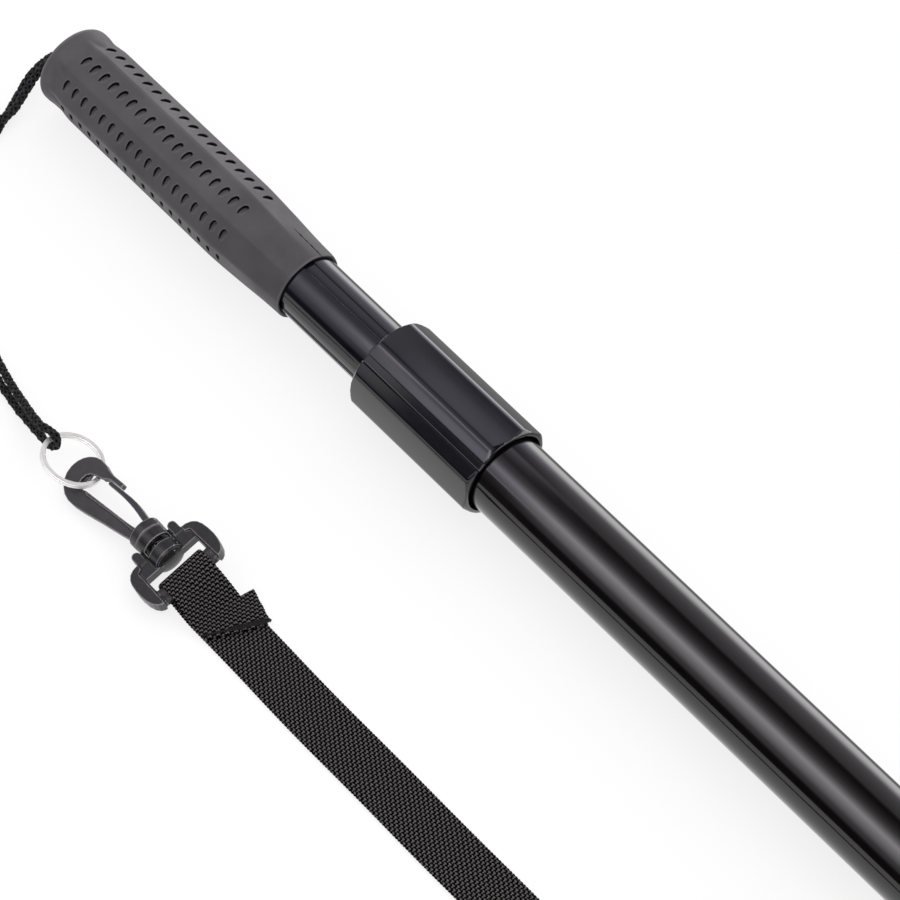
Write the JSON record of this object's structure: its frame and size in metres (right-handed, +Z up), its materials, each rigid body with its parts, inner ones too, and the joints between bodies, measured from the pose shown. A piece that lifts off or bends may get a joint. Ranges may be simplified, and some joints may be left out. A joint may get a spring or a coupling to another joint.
{
  "type": "telescopic boat hook",
  "caption": "Telescopic boat hook: rubber grip, twist-lock collar on two tubes, double hook head, and a webbing carry strap on swivel snap hooks held by a cord and a split ring.",
  "frame": {"origin": "centre of the grip's butt face, on the axis of the pole", "axes": "+X along the pole from the butt to the hook head, +Z up from the floor the hook lies on, +Y to the side the curved hook points to"},
  "size_m": [0.7522, 0.1871, 0.0365],
  "materials": {
    "grip_rubber": "matte moulded rubber",
    "anodised": "gloss black anodised",
    "black_nylon": "fine grained moulded nylon",
    "white_acetal": "natural acetal",
    "seal_rubber": "matte rubber",
    "braid": "braided cord",
    "webbing": "broken twill webbing",
    "thread": "polyester thread",
    "nickel": "nickel plated spring wire",
    "stainless": "stainless"
  },
  "bodies": {
    "handle": {"rubber_grip": "grip_rubber", "handle_tube": "anodised", "butt_plug": "black_nylon", "lanyard_cord": "braid", "guide_bush": "white_acetal", "inner_end_plug": "white_acetal"},
    "outer_pole": {"main_tube": "anodised", "threaded_ferrule": "black_nylon", "collet": "white_acetal", "hook_head": "black_nylon", "head_screws": "stainless"},
    "twist_collar": {"lock_collar": "anodised", "wiper_ring": "seal_rubber"},
    "ring": {"split_ring": "nickel"},
    "near_snap": {"snap_hook": "black_nylon"},
    "near_gate": {"snap_gate": "black_nylon"},
    "strap": {"strap_frame": "black_nylon", "strap_webbing": "webbing", "strap_stitching": "thread", "far_strap_frame": "black_nylon", "far_strap_stitching": "thread"},
    "far_snap": {"far_snap_hook": "black_nylon"},
    "far_gate": {"far_snap_gate": "black_nylon"}
  },
  "joints": [
    {"name": "pole_extend", "type": "slide", "parent": "handle", "child": "outer_pole", "axis": [1, 0, 0], "range_m": [-0.042, 0.28]},
    {"name": "collar_twist", "type": "hinge", "parent": "outer_pole", "child": "twist_collar", "pos_m": [0.2073, 0, 0], "axis": [1, 0, 0], "range_deg": [-120, 0]},
    {"name": "ring_swing", "type": "hinge", "parent": "handle", "child": "ring", "pos_m": [0.12019, -0.10416, -0.00923], "axis": [-0.164, 0.9297, -0.3298], "range_deg": [-45, 0]},
    {"name": "hook_swing", "type": "hinge", "parent": "ring", "child": "near_snap", "pos_m": [0.14152, -0.10283, -0.01348], "axis": [-0.0871, 0.9345, -0.3451], "range_deg": [-30, 0]},
    {"name": "gate_press", "type": "hinge", "parent": "near_snap", "child": "near_gate", "pos_m": [0.1689, -0.09998, -0.01092], "axis": [-0.0523, -0.3416, 0.9384], "range_deg": [0, 12]},
    {"name": "swivel_spin", "type": "hinge", "parent": "near_snap", "child": "strap", "pos_m": [0.1715, -0.1028, -0.0118], "axis": [0.9986, -0.0179, 0.0492], "continuous": true},
    {"name": "far_swivel_spin", "type": "hinge", "parent": "strap", "child": "far_snap", "pos_m": [0.61, -0.1028, -0.0118], "axis": [-0.9986, 0.0179, 0.0492], "continuous": true},
    {"name": "far_gate_press", "type": "hinge", "parent": "far_snap", "child": "far_gate", "pos_m": [0.6126, -0.10562, -0.01092], "axis": [0.0523, 0.3416, 0.9384], "range_deg": [0, 12]}
  ]
}
